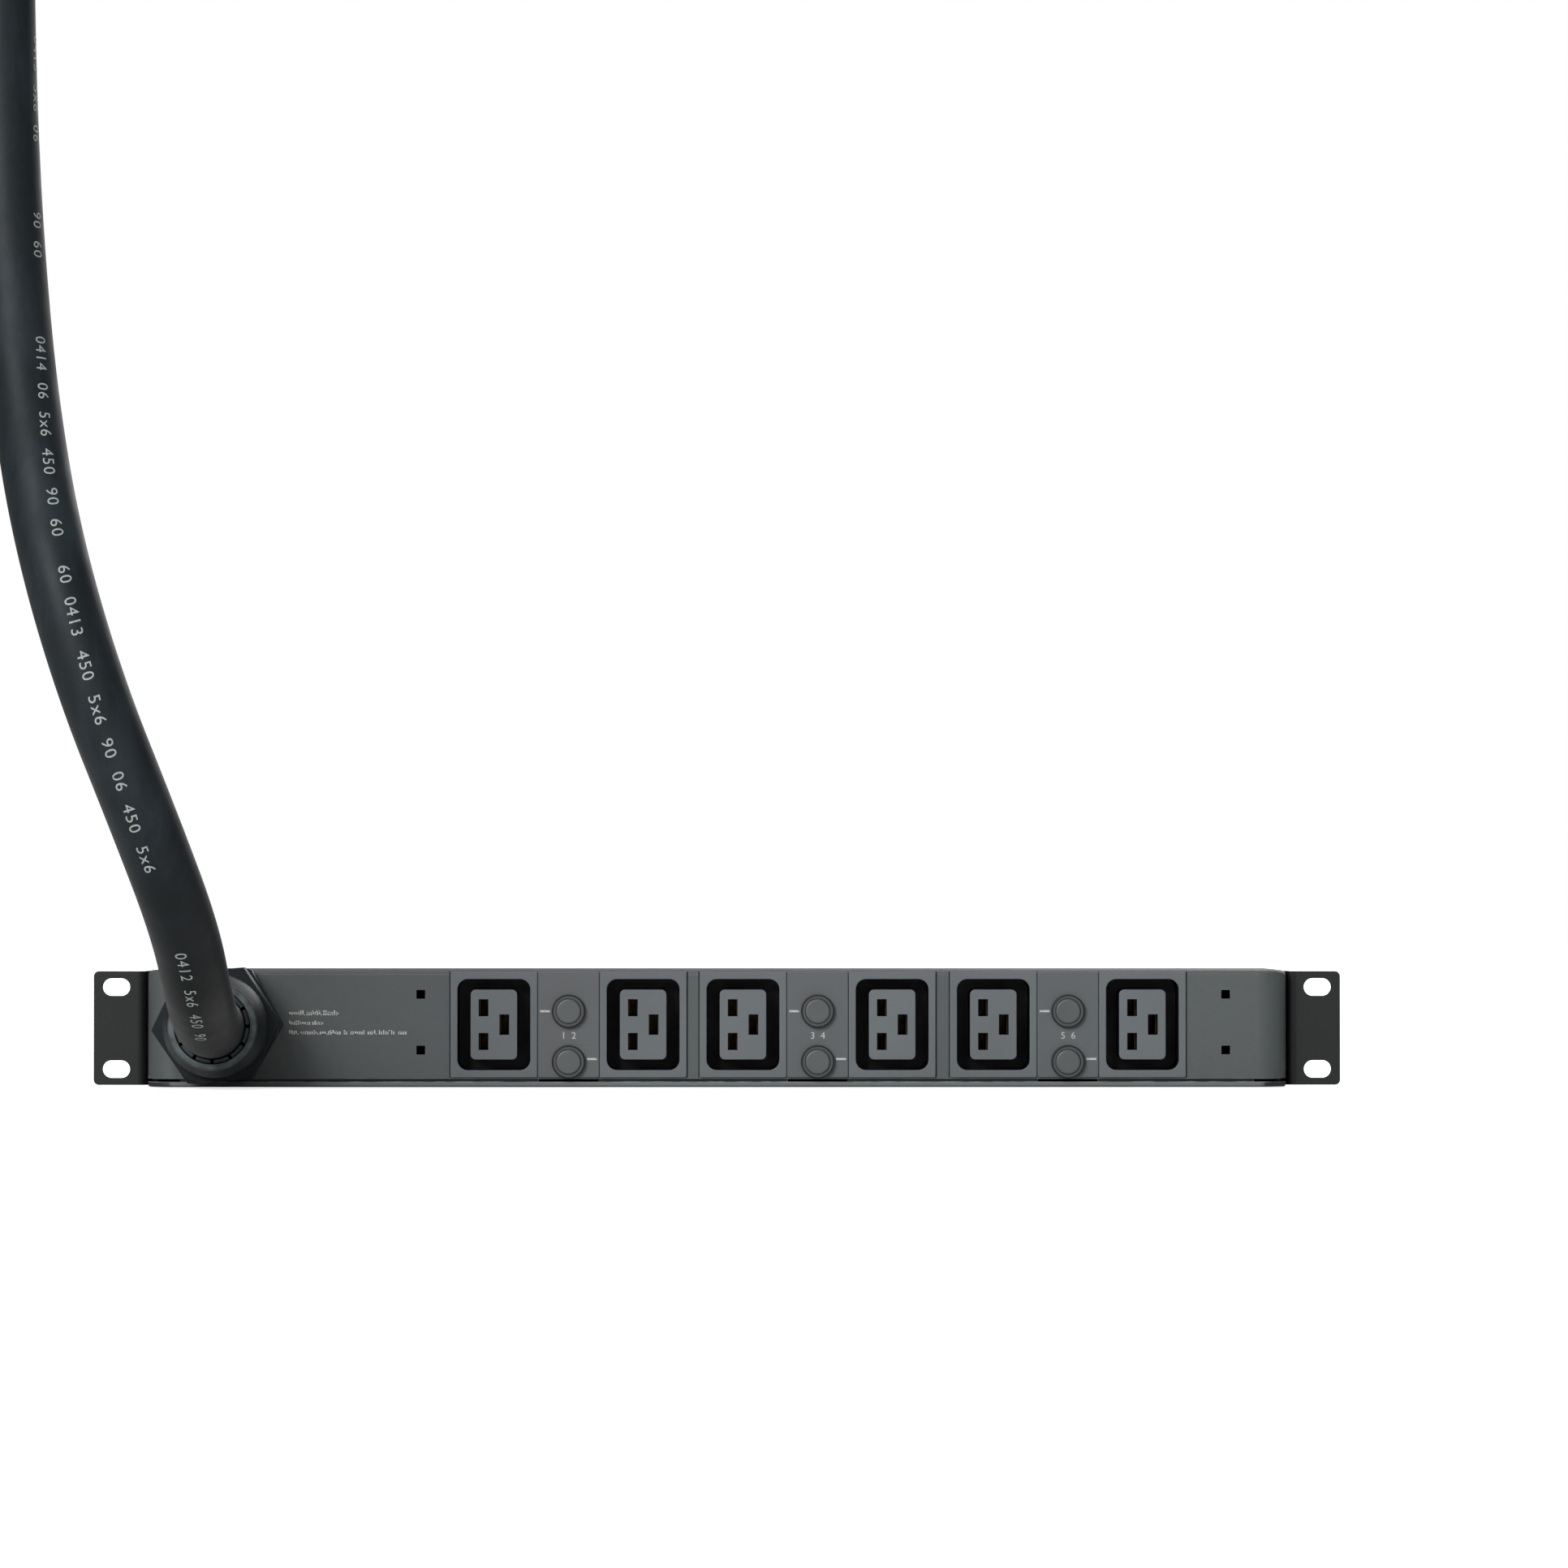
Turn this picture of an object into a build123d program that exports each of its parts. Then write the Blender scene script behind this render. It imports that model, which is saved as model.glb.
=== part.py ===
from build123d import *
import math
import os

# A one-unit rack power strip: a folded steel case with six power outlets in three pairs, two
# push-to-reset circuit breakers for each pair, and a thick mains cord through a large cable gland.
#
# Frame: X to the right as seen from the front, Y to the rear, Z up, in millimetres.
# The origin is the centre of the four rack slots, on the rear faces of the two rack ears.

# ================================================================ driving dimensions

# rack ears
EAR_SPAN = 482.6
EAR_HEIGHT = 44.0
EAR_T = 2.0
EAR_BEND_R = 3.5
EAR_CORNER_R = 2.0
LEG_CORNER_R = 4.0
LEG_REAR = 72.0
SLOT_SPACING_X = 465.1
SLOT_SPACING_Z = 31.75
SLOT_W = 6.8
SLOT_L = 10.6

# case
CASE_W = 440.0
CASE_FRONT = -15.0
CASE_REAR = 85.0
CASE_TOP = 22.5
CASE_BOTTOM = -22.5
SHEET = 1.5
TRAY_T = 2.0
TRAY_EDGE_R = 0.8
SEAM = 1.1
FRONT_CORNER_R = 11.0
FOLD_R = 2.0
FACE_LOWER_R = 2.5
FLANGE_GAP = 0.2
SIDE_FLANGE_TOP = -8.0
FRONT_RIB_TOP = -17.9
RIB_END_GAP = 2.0
RIB_NOTCH_GAP = 1.0
TOP_FLANGE_DEPTH = 12.0
SQUARE_HOLE = 3.4
SQUARE_HOLE_X = [-114.3, 196.0]
SQUARE_HOLE_Z = [13.2, -8.3]

# screws: shank diameter, head diameter, head thickness, length
SIDE_SCREW = (4.0, 7.6, 1.8, 9.0)
SIDE_SCREW_Y = [16.0, 56.0]
SIDE_SCREW_Z = [12.0, -13.5]
TOP_SCREW = (3.0, 5.6, 1.3, 6.0)
TOP_SCREW_X = [-195.0, -65.0, 65.0, 195.0]
TOP_SCREW_Y = 78.0
RECESS_W = 0.9
RECESS_DEPTH = 1.1
RECESS_REACH = 0.28

# outlets, in three banks of two
BANK_X = [-57.35, 38.6, 135.1]
OUTLET_PITCH = 57.5
OUTLET_FLANGE_W = 33.7
BEZEL_H = 40.8
BEZEL_T = 1.0
BEZEL_GAP = 0.15
BEZEL_CORNER_R = 0.8
BEZEL_EDGE_R = 0.35
HOUSING_W = 30.6
HOUSING_H = 37.0
HOUSING_R = 5.0
HOUSING_REAR = 9.0
SNAP_FIT = 0.1
LUG_W = 12.0
LUG_T = 1.0
LUG_L = 4.0
WELL_W = 28.0
WELL_H = 35.0
WELL_R = 4.0
WELL_FLOOR = 5.0
ISLAND_W = 18.0
ISLAND_H = 27.0
ISLAND_R = 2.0
ISLAND_SETBACK = 0.3
CORE_BLOCK_W = 22.0
CORE_BLOCK_H = 30.0
CORE_REAR = 17.0

# outlet poles: X and Z from the outlet's centre, slot width and height
LINE_POLE = (-4.0, 6.5, 3.8, 6.6)
NEUTRAL_POLE = (-4.0, -6.5, 3.8, 6.6)
EARTH_POLE = (4.0, 0.0, 3.8, 7.9)
CLIP_T = 0.5
CLIP_FRONT = -6.0
CLIP_REAR = 12.0
CLIP_SHORTER = 0.4
TAB_T = 0.8
TAB_H = 6.0
TAB_REAR = 28.0

# breakers
BREAKER_Z = [6.7, -12.8]
BREAKER_W = 21.0
BREAKER_H = 13.0
BREAKER_REAR = 18.0
BREAKER_TAB_X = 5.0
NECK_D = 11.8
NECK_FRONT = -17.6
COLLAR_D = 12.9
COLLAR_FRONT = -18.0
BUTTON_D = 9.7
BUTTON_FRONT = -18.3
BUTTON_HEAD_REAR = -6.0
BUTTON_EDGE_R = 0.8
STEM_D = 5.0
STEM_REAR = 6.0
BORE_END_GAP = 0.5
RUNNING_CLEARANCE = 0.1

# cable gland
GLAND_X = -191.7
GLAND_BODY_AF = 43.0
GLAND_NUT_AF = 42.6
GLAND_NUT_TURN = 4.5
GLAND_CORNER_D = 49.0
GLAND_CHAMFER = (1.2, 2.0)
GLAND_THREAD_D = 32.0
THREAD_PAST_NUT = 2.0
GLAND_BORE_D = 25.8
GLAND_COLLAR_T = 9.0
SPIGOT_D = 34.0
SPIGOT_BORE_D = 30.0
SPIGOT_FRONT = -37.0
NUT_GAP = 0.6
NUT_HEX_T = 14.0
NUT_SHOULDER_D = 40.0
NUT_DOME_R = 40.0
NUT_STEP = 1.0
NUT_CAVITY_FRONT = -41.0
MOUTH_D = 34.4
MOUTH_BORE_D = 29.0
MOUTH_LIP_R = 2.0
MOUTH = -57.0
SEAL_Y = (-36.0, -25.0)
CLAW_Y = (-56.2, -37.6)
CLAW_D = 28.6
CLAW_EDGE_R = 0.8
CLAW_BORE_D = 25.6
CLAW_RING_T = 2.6
CLAW_COUNT = 12
CLAW_SLOT_W = 1.4
LOCKNUT_AF = 34.2
LOCKNUT_T = 6.0

# mains cord: a route chosen by hand, from inside the gland up to the plug
CORD_D = 25.0
TAIL_END = 4.0
ARC_SHARE = 0.45
CORD_ROUTE = [
    (-191.7, -45.0, 1.55),
    (-191.7, -79.0, 1.55),
    (-191.9, -119.5, 12.2),
    (-195.0, -156.0, 38.5),
    (-206.0, -180.5, 77.5),
    (-224.5, -190.0, 126.5),
    (-241.5, -182.0, 179.5),
    (-253.0, -163.0, 232.0),
    (-259.5, -148.0, 288.0),
    (-263.0, -140.5, 342.0),
    (-264.5, -137.0, 397.0),
    (-265.0, -136.0, 452.0),
    (-265.0, -136.0, 506.0),
]

# mains plug, upright on the end of the cord
CLAMP_L = 30.0
CLAMP_OVER_CORD = 12.0
CLAMP_D = 44.0
CLAMP_MOUTH_D = 32.0
CLAMP_RIM = 3.0
SHELL_L = 92.0
# outline of the shell from its back: diameter, and share of its length
SHELL_OUTLINE = [
    (48.0, 0.0),
    (50.0, 0.01),
    (46.0, 0.30),
    (50.0, 0.50),
    (62.0, 0.72),
    (66.0, 0.78),
    (66.0, 0.98),
    (62.0, 1.0),
]
GROOVE_COUNT = 16
GROOVE_D = 3.0
GRIP_GROOVE_SHARES = (0.06, 0.40)
SLEEVE_D = 60.0
SLEEVE_T = 3.0
SLEEVE_L = 44.0
KEY_W = 9.0
KEY_H = 2.5
PIN_CIRCLE_D = 36.0
PIN_COUNT = 5
PIN_D = 6.0
EARTH_PIN_D = 8.0
PIN_L = 36.0
PIN_EDGE_R = 1.5

# inner wiring
WIRE_D = 3.4
WIRE_BEND_R = 2.5
SUPPLY_WIRE_D = 5.0
SUPPLY_BEND_R = 6.0
SUPPLY_FAN_X = 3.0
SUPPLY_FAN_Z = 3.5
SUPPLY_STEP_Z = 6.0
SUPPLY_MIDDLE_Z = -2.5
SUPPLY_SLOPE_Y = (16.0, 32.0)
POLE_COUNT = 5
BLOCK_X = (-165.0, -125.0)
BLOCK_Y = (32.0, 60.0)
BLOCK_TOP = 12.5
BLOCK_WALL_GROOVE = 1.2
LANE_FIRST = 36.0
LANE_STEP = 4.0
LOAD_LANE = 32.0
LOAD_RISE_X = 12.0
LOAD_BEND_R = 1.8
BLOCK_SCREW_D = 5.0
BLOCK_SCREW_H = 2.0
BLOCK_SCREW_SHARES = (0.25, 0.75)
STUD_X = -112.0
STUD_Y = 14.0
STUD_D = 6.0
STUD_TOP = -4.0
STUD_NUT_AF = 10.0
STUD_NUT_T = 5.0
STUD_WASHER_D = 12.0
STUD_WASHER_T = 1.5
LUG_PLATE_T = 1.5
LUG_TAIL = (12.0, 6.0)
BOND_WIRE_X = -122.0

# ================================================================ worked-out dimensions

FACE_BOTTOM = CASE_BOTTOM + TRAY_T + SEAM
FACE_MID = (CASE_TOP + FACE_BOTTOM) / 2
FACE_BACK = CASE_FRONT + SHEET
BEZEL_FRONT = CASE_FRONT - BEZEL_T
TRAY_TOP = CASE_BOTTOM + TRAY_T
INNER_HALF_W = CASE_W / 2 - SHEET
UNDER_COVER = CASE_TOP - SHEET - FLANGE_GAP
OUTLET_X = [bank + side * OUTLET_PITCH / 2 for bank in BANK_X for side in (-1, 1)]
BREAKER_PLACES = [(x, z) for x in BANK_X for z in BREAKER_Z]
SIDE_SCREW_PLACES = [(side, y, z) for side in (-1, 1) for y in SIDE_SCREW_Y for z in SIDE_SCREW_Z]
POLES = [LINE_POLE, NEUTRAL_POLE, EARTH_POLE]
COLLAR_FACE = CASE_FRONT - GLAND_COLLAR_T
NUT_REAR = COLLAR_FACE - NUT_GAP
TOUCH = 1e-4


# ================================================================ helpers

def slab(x0, x1, y0, y1, z0, z1):
    """A box between two corners."""
    return Pos((x0 + x1) / 2, (y0 + y1) / 2, (z0 + z1) / 2) * Box(x1 - x0, y1 - y0, z1 - z0)


def side_slab(side, x_near, x_far, y0, y1, z0, z1):
    """A box on the left or right half, given by its distances from the middle."""
    x0, x1 = sorted((side * x_near, side * x_far))
    return slab(x0, x1, y0, y1, z0, z1)


def along_y(sketch, x, z, y0, y1):
    """A sketch drawn in X and Z, standing between y0 and y1."""
    plane = Plane(origin=(x, y1, z), x_dir=(1, 0, 0), z_dir=(0, -1, 0))
    return extrude(plane * sketch, amount=y1 - y0)


def rod(diameter, x, z, y0, y1):
    """A round bar along Y."""
    return along_y(Circle(diameter / 2), x, z, y0, y1)


def hexagon(across_flats, turn=0):
    """A hexagon with corners to the left and right, turned anticlockwise by an angle."""
    return Rot(0, 0, turn) * RegularPolygon(across_flats / 2, 6, major_radius=False)


def ends_at_y(shape, y):
    """The edges of a shape that lie in the plane at y."""
    found = []
    for edge in shape.edges():
        box = edge.bounding_box()
        if abs(box.min.Y - y) < TOUCH and abs(box.max.Y - y) < TOUCH:
            found.append(edge)
    return found


def flat_screw(size, recess=True):
    """A countersunk screw along Z, its head's face at the origin and its shank below."""
    shank_d, head_d, head_t, length = size
    outline = Polyline(
        (0, 0),
        (head_d / 2, 0),
        (shank_d / 2, -head_t),
        (shank_d / 2, -length),
        (0, -length),
        (0, 0),
    )
    screw = revolve(Plane.XZ * make_face(outline), axis=Axis.Z)
    if recess:
        reach = head_d * RECESS_REACH
        half = RECESS_W / 2
        screw -= slab(-reach, reach, -half, half, -RECESS_DEPTH, 1)
        screw -= slab(-half, half, -reach, reach, -RECESS_DEPTH, 1)
    return screw


def side_screw(side, y, z, recess=True):
    """A bracket screw in its place on the left or right leg."""
    place = Pos(side * (CASE_W / 2 + EAR_T), y, z) * Rot(0, side * 90, 0)
    return place * flat_screw(SIDE_SCREW, recess)


def top_screw(x, recess=True):
    """A cover screw in its place along the rear edge of the top."""
    return Pos(x, TOP_SCREW_Y, CASE_TOP) * flat_screw(TOP_SCREW, recess)


def tube(points, diameter, radii):
    """A round tube along straight runs joined by tangent arcs."""
    path = FilletPolyline(*points, radius=radii)
    start = Vector(*points[0])
    plane = Plane(origin=start, z_dir=Vector(*points[1]) - start)
    return sweep(plane * Circle(diameter / 2), path=path)


def wire(points, diameter=WIRE_D, radius=WIRE_BEND_R):
    """An inner wire, with the same small bend at each corner."""
    return tube(points, diameter, [radius] * (len(points) - 2))


def write(name, *shapes):
    """Write one node, which is one solid or a group of separate solids."""
    solids = [solid for shape in shapes for solid in shape.solids()]
    node = solids[0] if len(solids) == 1 else Compound(children=solids)
    export_step(node, f"parts/{name}.step")


# ================================================================ case

def case_block(inset, bottom, rear):
    """The rounded block of the cover, drawn in by an inset."""
    half = CASE_W / 2 - inset
    front = CASE_FRONT + inset
    top = CASE_TOP - inset
    block = slab(-half, half, front, rear, bottom, top)
    corners = [edge for edge in block.edges().filter_by(Axis.Z) if edge.center().Y < front + TOUCH]
    block = fillet(corners, FRONT_CORNER_R - inset)
    rim = []
    for edge in block.edges():
        box = edge.bounding_box()
        if box.min.Z > top - TOUCH and box.min.Y < rear - TOUCH:
            rim.append(edge)
    return fillet(rim, FOLD_R - inset)


def make_cover():
    """The front face, top and sides, folded from one sheet."""
    cover = case_block(0, FACE_BOTTOM, CASE_REAR) - case_block(SHEET, FACE_BOTTOM - 5, CASE_REAR + 5)
    through = (CASE_FRONT - 1, FACE_BACK + 1)
    opening = Rectangle(HOUSING_W + 2 * SNAP_FIT, HOUSING_H + 2 * SNAP_FIT)
    for x in OUTLET_X:
        cover -= along_y(opening, x, FACE_MID, *through)
    for x, z in BREAKER_PLACES:
        cover -= rod(NECK_D + 2 * SNAP_FIT, x, z, *through)
    cover -= rod(GLAND_THREAD_D + 2 * SNAP_FIT, GLAND_X, FACE_MID, *through)
    for x in SQUARE_HOLE_X:
        for z in SQUARE_HOLE_Z:
            cover -= along_y(Rectangle(SQUARE_HOLE, SQUARE_HOLE), x, z, *through)
    for side in (-1, 1):
        cover -= lower_corner_tool(side)
    for side, y, z in SIDE_SCREW_PLACES:
        cover -= side_screw(side, y, z, recess=False)
    for x in TOP_SCREW_X:
        cover -= top_screw(x, recess=False)
    return cover


def lower_corner_tool(side):
    """What is cut from a lower corner of the face to round it."""
    r = FACE_LOWER_R
    y0 = CASE_FRONT - 1
    y1 = CASE_FRONT + FRONT_CORNER_R
    x = side * (CASE_W / 2 - r)
    corner = side_slab(side, CASE_W / 2 - r, CASE_W / 2 + 1, y0, y1, FACE_BOTTOM - 1, FACE_BOTTOM + r)
    return corner - rod(2 * r, x, FACE_BOTTOM + r, y0 - 1, y1 + 1)


def make_tray():
    """The floor, rear wall and low flanges that the cover closes over."""
    half = CASE_W / 2
    floor = slab(-half, half, CASE_FRONT, CASE_REAR, CASE_BOTTOM, TRAY_TOP)
    corners = [edge for edge in floor.edges().filter_by(Axis.Z) if edge.center().Y < 0]
    floor = fillet(corners, FRONT_CORNER_R)
    lower = []
    for edge in floor.edges():
        box = edge.bounding_box()
        if box.max.Z < CASE_BOTTOM + TOUCH and box.min.Y < CASE_REAR - TOUCH:
            lower.append(edge)
    tray = fillet(lower, TRAY_EDGE_R)
    inner = INNER_HALF_W - FLANGE_GAP
    tray += slab(-inner, inner, CASE_REAR - SHEET, CASE_REAR, TRAY_TOP, UNDER_COVER)
    tray += slab(-inner, inner, CASE_REAR - TOP_FLANGE_DEPTH, CASE_REAR, UNDER_COVER - SHEET, UNDER_COVER)
    for side in (-1, 1):
        tray += side_slab(side, inner - SHEET, inner, 0, CASE_REAR - SHEET, TRAY_TOP, SIDE_FLANGE_TOP)
    rib_front = FACE_BACK + FLANGE_GAP
    rib_rear = rib_front + SHEET
    rib_half = half - FRONT_CORNER_R - RIB_END_GAP
    tray += slab(-rib_half, rib_half, rib_front, rib_rear, TRAY_TOP, FRONT_RIB_TOP)
    notch = BREAKER_W / 2 + RIB_NOTCH_GAP
    for x in BANK_X:
        tray -= slab(x - notch, x + notch, rib_front - 1, rib_rear + 1, TRAY_TOP, FRONT_RIB_TOP + 1)
    for side, y, z in SIDE_SCREW_PLACES:
        if z < SIDE_FLANGE_TOP:
            tray -= side_screw(side, y, z, recess=False)
    for x in TOP_SCREW_X:
        tray -= top_screw(x, recess=False)
    tray -= Pos(STUD_X, STUD_Y, CASE_BOTTOM) * Cylinder(STUD_D / 2, 4 * TRAY_T)
    return tray


def make_bracket(side):
    """A rack ear and the leg that is screwed to the side of the case."""
    leg_inner = CASE_W / 2
    leg_outer = leg_inner + EAR_T
    ear_root = leg_inner + EAR_BEND_R
    tip = EAR_SPAN / 2
    bend_rear = EAR_BEND_R - EAR_T
    outline = [
        Line((leg_inner, LEG_REAR), (leg_inner, bend_rear)),
        RadiusArc((leg_inner, bend_rear), (ear_root, -EAR_T), -EAR_BEND_R),
        Line((ear_root, -EAR_T), (tip, -EAR_T)),
        Line((tip, -EAR_T), (tip, 0)),
        Line((tip, 0), (ear_root, 0)),
        RadiusArc((ear_root, 0), (leg_outer, bend_rear), bend_rear),
        Line((leg_outer, bend_rear), (leg_outer, LEG_REAR)),
        Line((leg_outer, LEG_REAR), (leg_inner, LEG_REAR)),
    ]
    face = make_face(Wire(outline))
    bracket = Pos(0, 0, -EAR_HEIGHT / 2) * extrude(face, amount=EAR_HEIGHT)
    tips = [edge for edge in bracket.edges().filter_by(Axis.Y) if edge.center().X > tip - TOUCH]
    bracket = fillet(tips, EAR_CORNER_R)
    heels = [edge for edge in bracket.edges().filter_by(Axis.X) if edge.center().Y > LEG_REAR - TOUCH]
    bracket = fillet(heels, LEG_CORNER_R)
    for z in (-SLOT_SPACING_Z / 2, SLOT_SPACING_Z / 2):
        bracket -= along_y(SlotOverall(SLOT_L, SLOT_W), SLOT_SPACING_X / 2, z, -EAR_T - 1, 1)
    for y in SIDE_SCREW_Y:
        for z in SIDE_SCREW_Z:
            bracket -= side_screw(1, y, z, recess=False)
    return bracket if side > 0 else mirror(bracket, about=Plane.YZ)


# ================================================================ outlets

def make_outlet_frame(x):
    """The flange and the open rectangular sleeve of one outlet, with its snap lugs."""
    flange = along_y(Rectangle(OUTLET_FLANGE_W - BEZEL_GAP, BEZEL_H), x, FACE_MID, BEZEL_FRONT, CASE_FRONT)
    flange = fillet(flange.edges().filter_by(Axis.Y), BEZEL_CORNER_R)
    flange = fillet(ends_at_y(flange, BEZEL_FRONT), BEZEL_EDGE_R)
    sleeve = along_y(RectangleRounded(HOUSING_W, HOUSING_H, HOUSING_R), x, FACE_MID, CASE_FRONT, HOUSING_REAR)
    frame = flange + sleeve
    lug_front = FACE_BACK + SNAP_FIT
    for side in (-1, 1):
        middle = x + side * HOUSING_W / 2
        lug = slab(middle - LUG_T, middle + LUG_T, lug_front, lug_front + LUG_L, -LUG_W / 2, LUG_W / 2)
        frame += Pos(0, 0, FACE_MID) * lug
    well = RectangleRounded(WELL_W, WELL_H, WELL_R)
    frame -= along_y(well, x, FACE_MID, BEZEL_FRONT - 1, HOUSING_REAR + 1)
    mouth = ends_at_y(frame, BEZEL_FRONT)
    inner_mouth = [edge for edge in mouth if abs(edge.center().X - x) < WELL_W / 2 + TOUCH]
    inner_mouth = [edge for edge in inner_mouth if abs(edge.center().Z - FACE_MID) < WELL_H / 2 + TOUCH]
    return fillet(inner_mouth, BEZEL_EDGE_R)


def make_outlet_core(x):
    """The island that carries the slots, its base in the sleeve and the block behind."""
    gap = 2 * SNAP_FIT
    base_outline = RectangleRounded(WELL_W - gap, WELL_H - gap, WELL_R)
    base = along_y(base_outline, x, FACE_MID, WELL_FLOOR, HOUSING_REAR)
    island_front = BEZEL_FRONT + ISLAND_SETBACK
    island = along_y(RectangleRounded(ISLAND_W, ISLAND_H, ISLAND_R), x, FACE_MID, island_front, WELL_FLOOR)
    island = fillet(ends_at_y(island, island_front), BEZEL_EDGE_R)
    block = along_y(Rectangle(CORE_BLOCK_W, CORE_BLOCK_H), x, FACE_MID, HOUSING_REAR, CORE_REAR)
    core = island + base + block
    for pole_x, pole_z, width, height in POLES:
        slot = Rectangle(width, height)
        core -= along_y(slot, x + pole_x, FACE_MID + pole_z, island_front - 1, CORE_REAR + 1)
    return core


def make_contacts(x):
    """The three brass clips of one outlet, each with a tab for its wire."""
    clips = []
    for pole_x, pole_z, width, height in POLES:
        middle = x + pole_x
        z = FACE_MID + pole_z
        half_z = (height - CLIP_SHORTER) / 2
        clip = slab(middle - width / 2, middle + width / 2, CLIP_FRONT, CLIP_REAR, z - half_z, z + half_z)
        clip -= slab(middle - width / 2 + CLIP_T, middle + width / 2 - CLIP_T, CLIP_FRONT - 1,
                     CLIP_REAR - CLIP_T, z - half_z - 1, z + half_z + 1)
        tab = slab(middle - TAB_T / 2, middle + TAB_T / 2, CLIP_REAR, TAB_REAR, z - TAB_H / 2, z + TAB_H / 2)
        clip += tab
        clips.append(clip)
    return clips


# ================================================================ breakers

def make_breaker_plate(x):
    """The flush plate between the two outlets of a bank."""
    width = OUTLET_PITCH - OUTLET_FLANGE_W - BEZEL_GAP
    plate = along_y(Rectangle(width, BEZEL_H), x, FACE_MID, BEZEL_FRONT, CASE_FRONT)
    plate = fillet(plate.edges().filter_by(Axis.Y), BEZEL_CORNER_R)
    plate = fillet(ends_at_y(plate, BEZEL_FRONT), BEZEL_EDGE_R)
    for z in BREAKER_Z:
        plate -= rod(NECK_D + 2 * SNAP_FIT, x, z, BEZEL_FRONT - 1, CASE_FRONT + 1)
    return plate


def make_breaker(x, z):
    """A breaker's body behind the face and its neck, bored for the button."""
    body = along_y(Rectangle(BREAKER_W, BREAKER_H), x, z, FACE_BACK, BREAKER_REAR)
    body += rod(NECK_D, x, z, NECK_FRONT, FACE_BACK)
    body -= rod(BUTTON_D + 2 * RUNNING_CLEARANCE, x, z, NECK_FRONT - 1, BUTTON_HEAD_REAR + BORE_END_GAP)
    body -= rod(STEM_D + 2 * RUNNING_CLEARANCE, x, z, BUTTON_HEAD_REAR, STEM_REAR + BORE_END_GAP)
    return body


def make_collar(x, z):
    """The ring nut that holds a breaker's neck to the plate."""
    collar = rod(COLLAR_D, x, z, COLLAR_FRONT, BEZEL_FRONT)
    collar = fillet(ends_at_y(collar, COLLAR_FRONT), BEZEL_EDGE_R)
    return collar - rod(NECK_D + 2 * RUNNING_CLEARANCE, x, z, COLLAR_FRONT - 1, BEZEL_FRONT + 1)


def make_button(x, z):
    """A reset button: a round head that slides in the neck, and its stem."""
    head = rod(BUTTON_D, x, z, BUTTON_FRONT, BUTTON_HEAD_REAR)
    head = fillet(ends_at_y(head, BUTTON_FRONT), BUTTON_EDGE_R)
    return head + rod(STEM_D, x, z, BUTTON_HEAD_REAR, STEM_REAR)


def make_breaker_tabs(x, z):
    """The two tabs on the back of a breaker."""
    tabs = []
    for side in (-1, 1):
        middle = x + side * BREAKER_TAB_X
        half_z = TAB_H / 2
        left = middle - TAB_T / 2
        tabs.append(slab(left, left + TAB_T, BREAKER_REAR, TAB_REAR, z - half_z, z + half_z))
    return tabs


# ================================================================ cable gland

def rounded_hexagon(across_flats, turn, y0, y1):
    """A hexagonal collar whose corners are turned down at both ends."""
    bar = along_y(hexagon(across_flats, turn), GLAND_X, FACE_MID, y0, y1)
    turned = rod(GLAND_CORNER_D, GLAND_X, FACE_MID, y0, y1)
    turned = chamfer(ends_at_y(turned, y0) + ends_at_y(turned, y1), *GLAND_CHAMFER)
    return bar & turned


def make_gland_body():
    """The collar against the face, with a thread through it and a spigot in front."""
    thread_end = FACE_BACK + LOCKNUT_T + THREAD_PAST_NUT
    body = rounded_hexagon(GLAND_BODY_AF, 0, COLLAR_FACE, CASE_FRONT)
    body += rod(GLAND_THREAD_D, GLAND_X, FACE_MID, CASE_FRONT, thread_end)
    body += rod(SPIGOT_D, GLAND_X, FACE_MID, SPIGOT_FRONT, COLLAR_FACE)
    body -= rod(GLAND_BORE_D, GLAND_X, FACE_MID, COLLAR_FACE, thread_end + 1)
    body -= rod(SPIGOT_BORE_D, GLAND_X, FACE_MID, SPIGOT_FRONT - 1, COLLAR_FACE)
    return body


def make_gland_nut():
    """The dome nut that closes the claws on the cord."""
    hex_front = NUT_REAR - NUT_HEX_T
    nut = rounded_hexagon(GLAND_NUT_AF, GLAND_NUT_TURN, hex_front, NUT_REAR)
    dome_rear = hex_front + NUT_STEP
    shoulder = hex_front - NUT_STEP
    dome = [
        Line((0, dome_rear), (NUT_SHOULDER_D / 2, dome_rear)),
        Line((NUT_SHOULDER_D / 2, dome_rear), (NUT_SHOULDER_D / 2, shoulder)),
        RadiusArc((NUT_SHOULDER_D / 2, shoulder), (MOUTH_D / 2, MOUTH + MOUTH_LIP_R), NUT_DOME_R),
        RadiusArc((MOUTH_D / 2, MOUTH + MOUTH_LIP_R), (MOUTH_D / 2 - MOUTH_LIP_R, MOUTH), MOUTH_LIP_R),
        Line((MOUTH_D / 2 - MOUTH_LIP_R, MOUTH), (0, MOUTH)),
        Line((0, MOUTH), (0, dome_rear)),
    ]
    turned = revolve(make_face(Wire(dome)), axis=Axis.Y)
    nut += Pos(GLAND_X, 0, FACE_MID) * turned
    nut -= rod(SPIGOT_D + 2 * SNAP_FIT, GLAND_X, FACE_MID, NUT_CAVITY_FRONT, NUT_REAR + 1)
    nut -= rod(MOUTH_BORE_D, GLAND_X, FACE_MID, MOUTH - 1, NUT_CAVITY_FRONT)
    return nut


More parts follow.
